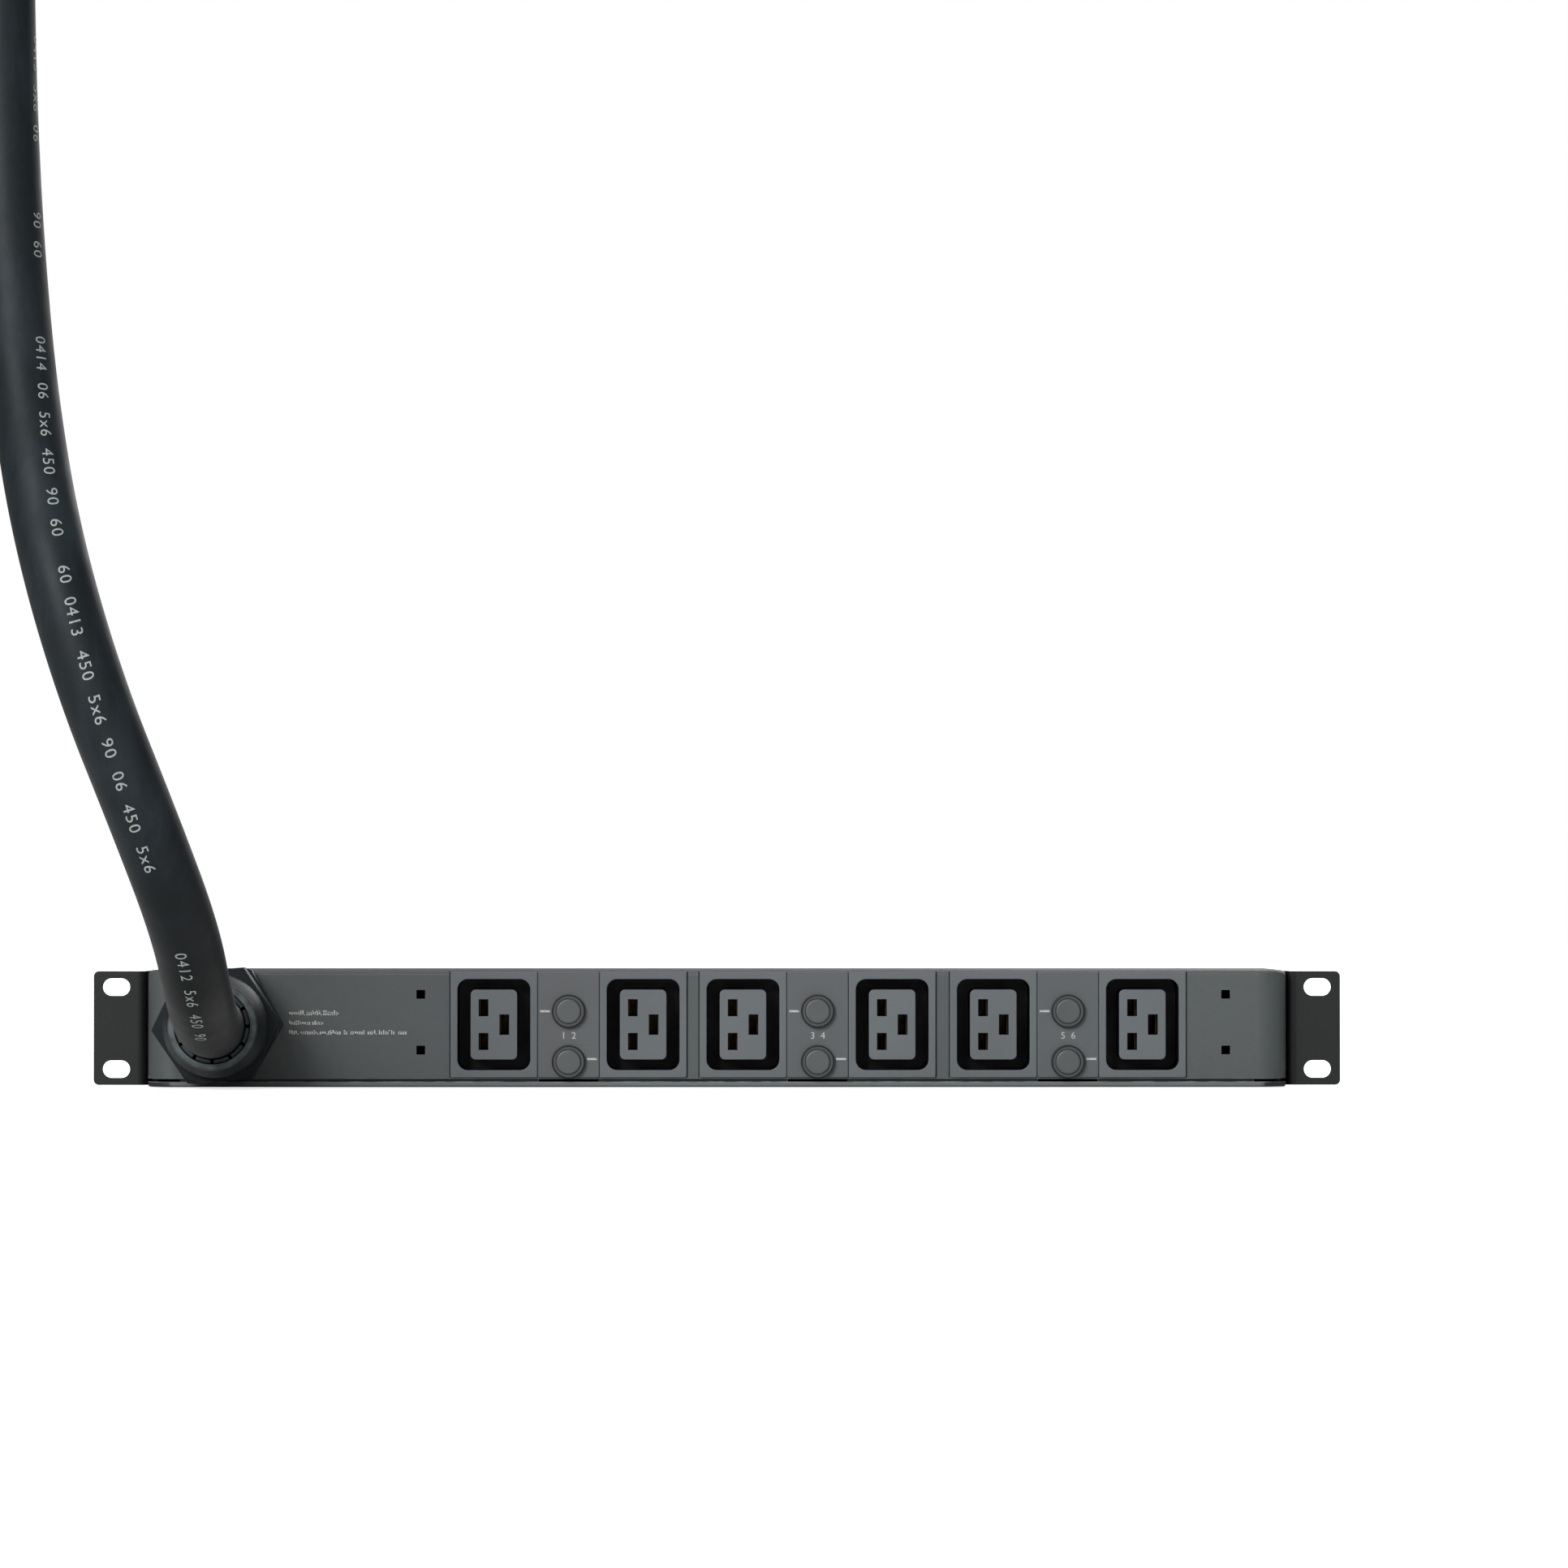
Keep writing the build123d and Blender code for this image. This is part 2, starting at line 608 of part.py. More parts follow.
def make_gland_clamp():
    """A ring of claws that closes round the cord inside the dome nut."""
    front, rear = CLAW_Y
    claws = rod(CLAW_D, GLAND_X, FACE_MID, front, rear)
    claws = fillet(ends_at_y(claws, front), CLAW_EDGE_R)
    claws += rod(SPIGOT_D - 2 * SNAP_FIT, GLAND_X, FACE_MID, rear - CLAW_RING_T, rear)
    claws -= rod(CLAW_BORE_D, GLAND_X, FACE_MID, front - 1, rear + 1)
    for index in range(CLAW_COUNT):
        slot = slab(CLAW_BORE_D / 2 - 1, CLAW_D / 2 + 1, front - 1, rear - 2 * CLAW_RING_T,
                    -CLAW_SLOT_W / 2, CLAW_SLOT_W / 2)
        claws -= Pos(GLAND_X, 0, FACE_MID) * Rot(0, index * 360 / CLAW_COUNT, 0) * slot
    return claws


def make_gland_seal():
    """The rubber sleeve between the spigot and the cord."""
    sleeve = rod(SPIGOT_BORE_D - SNAP_FIT, GLAND_X, FACE_MID, *SEAL_Y)
    return sleeve - rod(CORD_D + SNAP_FIT, GLAND_X, FACE_MID, SEAL_Y[0] - 1, SEAL_Y[1] + 1)


def make_locknut():
    """The hexagonal nut on the inside of the face."""
    nut = along_y(hexagon(LOCKNUT_AF), GLAND_X, FACE_MID, FACE_BACK, FACE_BACK + LOCKNUT_T)
    return nut - rod(GLAND_THREAD_D, GLAND_X, FACE_MID, FACE_BACK - 1, FACE_BACK + LOCKNUT_T + 1)


# ================================================================ cord and plug

def cord_radii():
    """As large an arc at each corner of the route as its two runs allow."""
    radii = []
    for before, at, after in zip(CORD_ROUTE, CORD_ROUTE[1:], CORD_ROUTE[2:]):
        run_in = Vector(*at) - Vector(*before)
        run_out = Vector(*after) - Vector(*at)
        half_turn = math.radians(run_in.get_angle(run_out)) / 2
        shorter = min(run_in.length, run_out.length)
        radii.append(ARC_SHARE * shorter / math.tan(half_turn))
    return radii


def make_cord():
    """The free cord, from inside the gland to the back of the plug."""
    radii = cord_radii()
    cord = tube(CORD_ROUTE, CORD_D, radii)
    length = FilletPolyline(*CORD_ROUTE, radius=radii).length
    share = cord.volume / (length * math.pi * CORD_D ** 2 / 4)
    print("cord length", round(length, 1), "volume against section times length", round(share, 5))
    print("cord radii", [round(radius) for radius in radii])
    return cord


def turned_up(outline):
    """A solid turned about the plug's upright axis, from an outline of radius and height."""
    end = CORD_ROUTE[-1]
    profile = make_face(Polyline(*outline, outline[0]))
    return Pos(*end) * revolve(Plane.XZ * profile, axis=Axis.Z)


def plug_bar(diameter, offset_x, offset_y, z0, z1):
    """A round bar along the plug's axis, with its heights counted from the cord's end."""
    x, y, z = CORD_ROUTE[-1]
    return Pos(x + offset_x, y + offset_y, z + (z0 + z1) / 2) * Cylinder(diameter / 2, z1 - z0)


def plug_grooves(diameter, z0, z1):
    """The round grooves that make a part of the plug easy to grip."""
    grooves = []
    for index in range(GROOVE_COUNT):
        angle = math.radians(index * 360 / GROOVE_COUNT)
        offset = (diameter / 2 * math.cos(angle), diameter / 2 * math.sin(angle))
        grooves.append(plug_bar(GROOVE_D, *offset, z0, z1))
    return grooves


def make_plug_clamp():
    """The ribbed nut that grips the cord at the back of the plug."""
    bottom = -CLAMP_OVER_CORD
    top = bottom + CLAMP_L
    clamp = turned_up([
        (0, bottom),
        (CLAMP_MOUTH_D / 2, bottom),
        (CLAMP_D / 2, bottom + CLAMP_L / 3),
        (CLAMP_D / 2, top),
        (0, top),
    ])
    clamp -= plug_bar(CORD_D + 2 * SNAP_FIT, 0, 0, bottom - 1, 0)
    return clamp - plug_grooves(CLAMP_D, bottom, top - CLAMP_RIM)


def make_plug_shell():
    """The hand grip, with grooves round its waist, and the wide front of the plug."""
    bottom = CLAMP_L - CLAMP_OVER_CORD
    outline = [(diameter / 2, bottom + share * SHELL_L) for diameter, share in SHELL_OUTLINE]
    shell = turned_up([(0, bottom), *outline, (0, bottom + SHELL_L)])
    first, last = GRIP_GROOVE_SHARES
    waist_d = min(diameter for diameter, share in SHELL_OUTLINE)
    return shell - plug_grooves(waist_d, bottom + first * SHELL_L, bottom + last * SHELL_L)


def make_plug_sleeve():
    """The open sleeve round the pins, with its outer key."""
    bottom = CLAMP_L - CLAMP_OVER_CORD + SHELL_L
    sleeve = plug_bar(SLEEVE_D, 0, 0, bottom, bottom + SLEEVE_L)
    x, y, z = CORD_ROUTE[-1]
    key_y = y - SLEEVE_D / 2
    sleeve += slab(x - KEY_W / 2, x + KEY_W / 2, key_y - KEY_H, y, z + bottom, z + bottom + SLEEVE_L)
    return sleeve - plug_bar(SLEEVE_D - 2 * SLEEVE_T, 0, 0, bottom - 1, bottom + SLEEVE_L + 1)


def make_plug_pins():
    """Five round pins, the earth pin thicker than the others."""
    bottom = CLAMP_L - CLAMP_OVER_CORD + SHELL_L
    pins = []
    for index in range(PIN_COUNT):
        angle = math.radians(index * 360 / PIN_COUNT - 90)
        offset = (PIN_CIRCLE_D / 2 * math.cos(angle), PIN_CIRCLE_D / 2 * math.sin(angle))
        diameter = EARTH_PIN_D if index == 0 else PIN_D
        pin = plug_bar(diameter, *offset, bottom, bottom + PIN_L)
        pins.append(fillet(pin.edges().sort_by(Axis.Z)[-1], PIN_EDGE_R))
    return pins


# ================================================================ inner wiring

def make_terminal_block():
    """A five-pole block, with a groove between each pair of poles."""
    x0, x1 = BLOCK_X
    y0, y1 = BLOCK_Y
    block = slab(x0, x1, y0, y1, TRAY_TOP, BLOCK_TOP)
    pole = (y1 - y0) / POLE_COUNT
    for index in range(1, POLE_COUNT):
        y = y0 + index * pole
        block -= slab(x0 - 1, x1 + 1, y - BLOCK_WALL_GROOVE / 2, y + BLOCK_WALL_GROOVE / 2,
                      BLOCK_TOP - BLOCK_WALL_GROOVE, BLOCK_TOP + 1)
    return block


def make_terminal_screws():
    """Two screws on top of each pole of the block."""
    x0, x1 = BLOCK_X
    y0, y1 = BLOCK_Y
    pole = (y1 - y0) / POLE_COUNT
    screws = []
    for index in range(POLE_COUNT):
        for share in BLOCK_SCREW_SHARES:
            place = Pos(x0 + share * (x1 - x0), y0 + (index + 0.5) * pole, BLOCK_TOP + BLOCK_SCREW_H / 2)
            screw = Cylinder(BLOCK_SCREW_D / 2, BLOCK_SCREW_H)
            screw -= Pos(0, 0, BLOCK_SCREW_H / 2) * Box(BLOCK_SCREW_D + 1, RECESS_W, BLOCK_SCREW_H)
            screws.append(place * screw)
    return screws


def make_earth_stud():
    """The pressed stud, its washer, its nut and the lug of the earth wire."""
    stud = Pos(STUD_X, STUD_Y, (CASE_BOTTOM + STUD_TOP) / 2) * Cylinder(STUD_D / 2, STUD_TOP - CASE_BOTTOM)
    washer_z = TRAY_TOP
    lug_z = washer_z + STUD_WASHER_T
    nut_z = lug_z + LUG_PLATE_T
    hole = Pos(STUD_X, STUD_Y, nut_z) * Cylinder(STUD_D / 2, 4 * STUD_NUT_T)
    washer = Pos(STUD_X, STUD_Y, washer_z + STUD_WASHER_T / 2) * Cylinder(STUD_WASHER_D / 2, STUD_WASHER_T)
    lug = Pos(STUD_X, STUD_Y, lug_z + LUG_PLATE_T / 2) * Cylinder(STUD_WASHER_D / 2, LUG_PLATE_T)
    tail_l, tail_w = LUG_TAIL
    tail = (STUD_X - tail_l, STUD_X, STUD_Y - tail_w / 2, STUD_Y + tail_w / 2)
    lug += slab(*tail, lug_z, lug_z + LUG_PLATE_T)
    nut = Pos(STUD_X, STUD_Y, nut_z) * extrude(hexagon(STUD_NUT_AF), amount=STUD_NUT_T)
    return [stud, washer - hole, lug - hole, nut - hole]


def make_supply_wires():
    """The five conductors, from the end of the cord to the terminal block."""
    wires = []
    slope_start, slope_end = SUPPLY_SLOPE_Y
    y = sum(BLOCK_Y) / 2
    for index in range(POLE_COUNT):
        step = index - (POLE_COUNT - 1) / 2
        x = GLAND_X + (SUPPLY_FAN_X if index % 2 else -SUPPLY_FAN_X)
        z = FACE_MID + step * SUPPLY_FAN_Z
        block_z = SUPPLY_MIDDLE_Z + step * SUPPLY_STEP_Z
        wires.append(wire([
            (x, TAIL_END, z),
            (x, slope_start, z),
            (x, slope_end, block_z),
            (x, y, block_z),
            (BLOCK_X[0], y, block_z),
        ], SUPPLY_WIRE_D, SUPPLY_BEND_R))
    return wires


def lane_wire(lane, x, z):
    """A wire from the block, along its lane and forward to a tab."""
    y = LANE_FIRST + lane * LANE_STEP
    return wire([(BLOCK_X[1], y, z), (x, y, z), (x, TAB_REAR, z)])


def make_line_wires():
    """From the block to the incoming tab of each breaker."""
    upper_z, lower_z = BREAKER_Z
    wires = []
    for lane, x in enumerate(BANK_X):
        wires.append(lane_wire(lane, x + BREAKER_TAB_X, upper_z))
        wires.append(lane_wire(lane, x - BREAKER_TAB_X, lower_z))
    return wires


def make_load_wires():
    """From each breaker to the line contact of its outlet: upper to the left, lower to the right."""
    upper_z, lower_z = BREAKER_Z
    line_z = FACE_MID + LINE_POLE[1]
    wires = []
    for x in BANK_X:
        left = x - OUTLET_PITCH / 2 + LINE_POLE[0]
        right = x + OUTLET_PITCH / 2 + LINE_POLE[0]
        start = x - BREAKER_TAB_X
        wires.append(wire([
            (start, TAB_REAR, upper_z),
            (start, LOAD_LANE, upper_z),
            (left, LOAD_LANE, line_z),
            (left, TAB_REAR, line_z),
        ], radius=LOAD_BEND_R))
        start = x + BREAKER_TAB_X
        wires.append(wire([
            (start, TAB_REAR, lower_z),
            (start, LOAD_LANE, lower_z),
            (x + LOAD_RISE_X, LOAD_LANE, lower_z),
            (x + LOAD_RISE_X, LOAD_LANE, line_z),
            (right, LOAD_LANE, line_z),
            (right, TAB_REAR, line_z),
        ], radius=LOAD_BEND_R))
    return wires


def make_pole_wires(pole):
    """From the block to the same pole of all six outlets."""
    return [lane_wire(lane, x + pole[0], FACE_MID + pole[1]) for lane, x in enumerate(OUTLET_X)]


def make_bond_wire():
    """From the block to the lug on the case's earth stud."""
    z = TRAY_TOP + STUD_WASHER_T + LUG_PLATE_T + WIRE_D / 2
    y = LANE_FIRST - 1
    return wire([(BLOCK_X[1], y, z), (BOND_WIRE_X, y, z), (BOND_WIRE_X, STUD_Y, z)])


# ================================================================ all nodes

os.makedirs("parts", exist_ok=True)

write("base_tray", make_tray())
write("top_cover", make_cover())
write("bracket_left", make_bracket(-1))
write("bracket_right", make_bracket(1))
write("bracket_screws", *[side_screw(*place) for place in SIDE_SCREW_PLACES])
write("cover_screws", *[top_screw(x) for x in TOP_SCREW_X])

for number, outlet_x in enumerate(OUTLET_X, start=1):
    write(f"outlet_frame_{number}", make_outlet_frame(outlet_x))
    write(f"outlet_core_{number}", make_outlet_core(outlet_x))
    write(f"outlet_contacts_{number}", *make_contacts(outlet_x))

for number, bank_x in enumerate(BANK_X, start=1):
    write(f"breaker_plate_{number}", make_breaker_plate(bank_x))

for number, (breaker_x, breaker_z) in enumerate(BREAKER_PLACES, start=1):
    write(f"breaker_{number}", make_breaker(breaker_x, breaker_z))
    write(f"breaker_button_{number}", make_button(breaker_x, breaker_z))

write("breaker_collars", *[make_collar(*place) for place in BREAKER_PLACES])
write("breaker_tabs", *[tab for place in BREAKER_PLACES for tab in make_breaker_tabs(*place)])

write("gland_body", make_gland_body())
write("gland_nut", make_gland_nut())
write("gland_clamp", make_gland_clamp())
write("gland_seal", make_gland_seal())
write("gland_locknut", make_locknut())
write("cord_tail", rod(CORD_D, GLAND_X, FACE_MID, CORD_ROUTE[0][1], TAIL_END))
write("mains_cord", make_cord())
write("plug_clamp", make_plug_clamp())
write("plug_shell", make_plug_shell())
write("plug_sleeve", make_plug_sleeve())
write("plug_pins", *make_plug_pins())

write("terminal_block", make_terminal_block())
write("terminal_screws", *make_terminal_screws())
write("earth_stud", *make_earth_stud())
write("supply_wires", *make_supply_wires())
write("line_wires", *make_line_wires())
write("load_wires", *make_load_wires())
write("neutral_wires", *make_pole_wires(NEUTRAL_POLE))
write("earth_wires", *make_pole_wires(EARTH_POLE), make_bond_wire())
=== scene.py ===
import math
import random

import bmesh
import bpy
from mathutils import Matrix, Vector


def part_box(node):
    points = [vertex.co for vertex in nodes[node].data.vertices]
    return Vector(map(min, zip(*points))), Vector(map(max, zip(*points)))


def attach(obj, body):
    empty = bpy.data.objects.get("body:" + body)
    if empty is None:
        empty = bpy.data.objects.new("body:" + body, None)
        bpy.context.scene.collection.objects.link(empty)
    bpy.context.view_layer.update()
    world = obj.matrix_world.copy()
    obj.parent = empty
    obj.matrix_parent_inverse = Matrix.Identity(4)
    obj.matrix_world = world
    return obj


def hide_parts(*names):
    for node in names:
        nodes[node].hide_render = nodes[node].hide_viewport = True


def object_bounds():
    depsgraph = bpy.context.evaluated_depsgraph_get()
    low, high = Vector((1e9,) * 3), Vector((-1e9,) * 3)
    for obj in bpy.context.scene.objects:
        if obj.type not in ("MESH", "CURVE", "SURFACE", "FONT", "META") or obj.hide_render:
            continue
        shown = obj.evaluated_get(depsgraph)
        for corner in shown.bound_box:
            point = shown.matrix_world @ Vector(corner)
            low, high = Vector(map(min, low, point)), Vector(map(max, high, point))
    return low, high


# The looks of a rack power strip. Metres, X to the right from the front, Y to the rear, Z up.

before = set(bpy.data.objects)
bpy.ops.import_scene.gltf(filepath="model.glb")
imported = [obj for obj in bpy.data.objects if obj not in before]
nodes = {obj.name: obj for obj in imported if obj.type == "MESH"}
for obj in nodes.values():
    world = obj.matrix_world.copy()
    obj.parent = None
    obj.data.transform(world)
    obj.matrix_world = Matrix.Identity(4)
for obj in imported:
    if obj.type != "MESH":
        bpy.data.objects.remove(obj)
cad_low, cad_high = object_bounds()

MM = 0.001


def mm(*values):
    """A point given in millimetres."""
    return Vector(values) * MM


# ---------------------------------------------------------------- camera

# A long-lens view from nearly three metres in front of the rack ears, just above the top of the case.
CAMERA_AT = mm(-2.2, -2735, 44.3)
CAMERA_AIM = mm(25.8, 0, 94.55)
LENS_MM = 161.96
SENSOR_MM = 36
CLIP_END = 60

camera = bpy.data.objects.new("camera", bpy.data.cameras.new("camera"))
bpy.context.scene.collection.objects.link(camera)
camera.location = CAMERA_AT
camera.rotation_mode = "QUATERNION"
camera.rotation_quaternion = (CAMERA_AIM - CAMERA_AT).to_track_quat("-Z", "Y")
camera.data.lens = LENS_MM
camera.data.sensor_width = SENSOR_MM
camera.data.clip_end = CLIP_END
bpy.context.scene.camera = camera


# ---------------------------------------------------------------- helpers for meshes

def link(name, data, body="housing"):
    """A new object in the scene that rides on a body."""
    made = bpy.data.objects.new(name, data)
    bpy.context.scene.collection.objects.link(made)
    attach(made, body)
    return made


def mesh_object(name, build, material, body="housing"):
    """An object from a function that fills a bmesh."""
    work = bmesh.new()
    build(work)
    data = bpy.data.meshes.new(name)
    work.to_mesh(data)
    work.free()
    data.materials.append(material)
    return link(name, data, body)


def add_plate(work, low, high):
    """A thin closed box between two corners."""
    size = high - low
    place = Matrix.Translation((low + high) / 2) @ Matrix.Diagonal((*size, 1))
    bmesh.ops.create_cube(work, size=1, matrix=place)


# ---------------------------------------------------------------- helpers for materials

# The part of the noise's range that most of it lies in.
NOISE_MIDDLE = (0.3, 0.7)


class Shader:
    """A node material with a Principled shader, built a node at a time."""

    def __init__(self, name):
        self.material = bpy.data.materials.new(name)
        self.material.use_nodes = True
        self.tree = self.material.node_tree
        self.bsdf = self.tree.nodes["Principled BSDF"]
        self.coordinates = self.node("ShaderNodeTexCoord").outputs["Object"]

    def node(self, kind, settings=None, **inputs):
        """A new node. Inputs are linked if they are sockets and set if they are values."""
        made = self.tree.nodes.new(kind)
        for key, value in (settings or {}).items():
            setattr(made, key, value)
        for key, value in inputs.items():
            socket = made.inputs[int(key[1:])] if key[0] == "i" and key[1:].isdigit() else made.inputs[key]
            if isinstance(value, bpy.types.NodeSocket):
                self.tree.links.new(value, socket)
            else:
                socket.default_value = value
        return made

    def set(self, **values):
        """Sockets of the shader, by name with _ for a space."""
        for key, value in values.items():
            socket = self.bsdf.inputs[key.replace("_", " ")]
            if isinstance(value, bpy.types.NodeSocket):
                self.tree.links.new(value, socket)
            else:
                socket.default_value = value
        return self

    def noise(self, scale, detail=4.0, roughness=0.5, stretch=None):
        """Noise over the object, its scale in features to the metre."""
        vector = self.coordinates
        if stretch:
            vector = self.node("ShaderNodeMapping", Vector=vector, Scale=stretch).outputs[0]
        made = self.node("ShaderNodeTexNoise", Vector=vector, Scale=scale, Detail=detail, Roughness=roughness)
        return made.outputs["Fac"]

    def span(self, value, low, high, to_low=0.0, to_high=1.0):
        """A value moved from one range to another and held inside it. It falls where low is above high."""
        names = {"Value": value, "From Min": low, "From Max": high, "To Min": to_low, "To Max": to_high}
        return self.node("ShaderNodeMapRange", {"clamp": True}, **names).outputs[0]

    def cloud(self, scale, detail=4.0, to_low=0.0, to_high=1.0):
        """Soft noise, with the middle of its range spread over another."""
        return self.span(self.noise(scale, detail), *NOISE_MIDDLE, to_low, to_high)

    def blend(self, share, first, second):
        """Two colours mixed by a share."""
        made = self.node("ShaderNodeMix", {"data_type": "RGBA"})
        for socket, value in zip((made.inputs[0], made.inputs[6], made.inputs[7]), (share, first, second)):
            if isinstance(value, bpy.types.NodeSocket):
                self.tree.links.new(value, socket)
            elif isinstance(value, float):
                socket.default_value = value
            else:
                socket.default_value = (*value, 1)
        return made.outputs[2]

    def math(self, operation, first, second=0.0):
        """One sum on two values."""
        return self.node("ShaderNodeMath", {"operation": operation}, i0=first, i1=second).outputs[0]

    def axis(self, index):
        """One coordinate over the object, in metres."""
        return self.node("ShaderNodeSeparateXYZ", i0=self.coordinates).outputs[index]

    def edges(self, radius, low=0.02, high=0.25):
        """How near a point is to a sharp edge, from the normal of a bevel."""
        bevel = self.node("ShaderNodeBevel", {"samples": 4}, Radius=radius).outputs[0]
        normal = self.node("ShaderNodeNewGeometry").outputs["Normal"]
        turn = self.node("ShaderNodeVectorMath", {"operation": "DOT_PRODUCT"}, i0=bevel, i1=normal)
        away = self.math("SUBTRACT", 1.0, turn.outputs["Value"])
        return self.span(away, low, high)

    def bump(self, height, distance, strength=1.0, after=None):
        """A bump from a height, in metres, on top of another if one is given."""
        made = self.node("ShaderNodeBump", Height=height, Distance=distance, Strength=strength)
        if after is not None:
            self.tree.links.new(after, made.inputs["Normal"])
        return made.outputs[0]


def grey(value, tint=(1.0, 1.0, 1.0)):
    """A grey with a tint, as a colour."""
    return tuple(value * part for part in tint)


# Tints of the greys: COOL for the coat, COLD for plastic, DEEP for nylon and rubber.
COOL = (0.86, 1.0, 1.02)
COLD = (0.90, 1.0, 1.07)
DEEP = (0.66, 1.0, 1.22)

# Painted shade on the coat, as a share of its tone: in the bend of an ear (X) and behind the face's seam (Y).
PAINTED_SHADE_SHARE = 0.06
EAR_BEND_X = 0.2235
BEND_FADE = 0.0012
SEAM_DARK_FROM = -0.01499
SEAM_DARK_TO = -0.0147

# The unlit inside of an outlet, from the face rearward (Y), as a share of its tone.
WELL_DARK_FROM = -0.0155
WELL_DARK_TO = -0.0146
WELL_DARK = 0.03

# The paler front rim of the gland's nut (Y): partly rubbed wear, partly a painted highlight.
RIM_FROM = -0.0568
RIM_TO = -0.0555
RIM_WEAR_AND_HIGHLIGHT_TONE = 0.085

# The heights between which painted shade darkens the cord towards the gland: full below the first, gone above
# the second (Z).
CORD_SHADE_FROM = 0.015
CORD_SHADE_TO = 0.080

# A button's pale band, which is behind its collar until the button springs out (Y).
BAND_FROM = -0.0172
BAND_TO = -0.0150
EDGE_OF_PAINT = 0.00005
BAND_TONE = 0.62


def powder_coat(name, tone, painted_shade=None, wear_and_highlight_share=0.5, gloss=0.4):
    """Fine-textured black powder coat: small orange peel, faint handling marks, paler edges (wear, and a
    painted highlight where their share is raised) and painted shade under an optional mask.
    """
    s = Shader(name)
    base = s.blend(s.cloud(9, 3), grey(tone * 0.93, COOL), grey(tone * 1.07, COOL))
    base = s.blend(s.span(s.noise(420, 6, 0.6), 0.35, 0.75, 0.0, 0.35), base, grey(tone * 0.8, COOL))
    # Painted shade: the coat darkened where the given mask is.
    if painted_shade:
        base = s.blend(painted_shade(s), base, grey(tone * PAINTED_SHADE_SHARE, COOL))
    # Paler edges: wear, which a raised share turns into a painted highlight.
    worn = s.math("MULTIPLY", s.edges(0.0007), s.span(s.noise(160, 5), 0.42, 0.62))
    base = s.blend(s.math("MULTIPLY", worn, wear_and_highlight_share), base, grey(tone * 3, COOL))
    peel = s.bump(s.noise(900, 3), 0.00009, 0.7)
    grain = s.bump(s.noise(2600, 2), 0.00003, 0.5, peel)
    rough = s.cloud(35, 4, 0.53, 0.59)
    return s.set(Base_Color=base, Roughness=rough, Normal=grain, Specular_IOR_Level=gloss).material


def bend_painted_shade(s):
    """Painted shade in the inner bend between an ear and the side of the case."""
    out = s.math("ABSOLUTE", s.axis(0))
    return s.span(out, EAR_BEND_X + BEND_FADE, EAR_BEND_X)


def seam_painted_shade(s):
    """The unlit metal behind the seam of the face."""
    return s.span(s.axis(1), SEAM_DARK_FROM, SEAM_DARK_TO)


def moulded(name, tone, tint=COLD, rough=(0.42, 0.56), well=False, wear=0.35, gloss=0.5):
    """Moulded plastic: fine spark texture, slight clouding and rubbed edges."""
    s = Shader(name)
    base = s.blend(s.cloud(22), grey(tone * 0.92, tint), grey(tone * 1.08, tint))
    if well:
        depth = s.span(s.axis(1), WELL_DARK_FROM, WELL_DARK_TO)
        base = s.blend(depth, base, grey(tone * WELL_DARK, tint))
    rubbed = s.math("MULTIPLY", s.edges(0.0004), s.span(s.noise(300, 4), 0.35, 0.6, 0.25, 1.0))
    base = s.blend(s.math("MULTIPLY", rubbed, wear), base, grey(tone * 2.0, tint))
    grain = s.bump(s.noise(3200, 2), 0.00002, 0.6)
    level = s.cloud(60, 4, *rough)
    return s.set(Base_Color=base, Roughness=level, Normal=grain, Specular_IOR_Level=gloss).material


def nylon(name, tone, rim=False, gloss=0.22):
    """Black nylon of the gland: matt, with drawn-out moulding marks, scuffs and a paler rim, partly rubbed
    wear and partly a painted highlight.
    """
    s = Shader(name)
    base = s.blend(s.span(s.noise(30, 5), 0.35, 0.7), grey(tone * 0.8, DEEP), grey(tone * 1.25, DEEP))
    scuffs = s.span(s.noise(240, 8, 0.75, stretch=(1, 0.12, 1)), 0.60, 0.74)
    base = s.blend(s.math("MULTIPLY", scuffs, 0.30), base, grey(tone * 4, COOL))
    base = s.blend(s.math("MULTIPLY", s.edges(0.0008), 0.4), base, grey(tone * 3.2, COOL))
    if rim:
        # The rim painted paler: rubbed wear and a painted highlight.
        patches = s.span(s.noise(210, 4), 0.3, 0.6, 0.4, 1.0)
        rubbed = s.math("MULTIPLY", s.span(s.axis(1), RIM_TO, RIM_FROM), patches)
        base = s.blend(rubbed, base, grey(RIM_WEAR_AND_HIGHLIGHT_TONE, COOL))
    grain = s.bump(s.noise(2400, 2), 0.00002, 0.5)
    level = s.cloud(80, 4, 0.48, 0.62)
    return s.set(Base_Color=base, Roughness=level, Normal=grain, Specular_IOR_Level=gloss).material


def rubber(name, tone):
    """A rubber sheath: matt and faintly wavy, with dusty streaks, and painted shade that darkens it towards
    the gland.
    """
    s = Shader(name)
    dust = s.span(s.noise(55, 7, 0.65, stretch=(1, 1, 0.25)), 0.45, 0.75)
    base = s.blend(dust, grey(tone, DEEP), grey(tone * 2.3, DEEP))
    specks = s.span(s.noise(1400, 3), 0.68, 0.74)
    base = s.blend(s.math("MULTIPLY", specks, 0.35), base, grey(tone * 6))
    # Painted shade: darker than bare rubber near the gland, fading out higher up.
    base = s.blend(s.span(s.axis(2), CORD_SHADE_TO, CORD_SHADE_FROM), base, grey(tone * 0.2, DEEP))
    wave = s.bump(s.noise(70, 2), 0.0006, 0.35)
    grain = s.bump(s.noise(1500, 4), 0.00005, 0.55, wave)
    level = s.cloud(40, 5, 0.48, 0.62)
    return s.set(Base_Color=base, Roughness=level, Normal=grain, Specular_IOR_Level=0.15).material


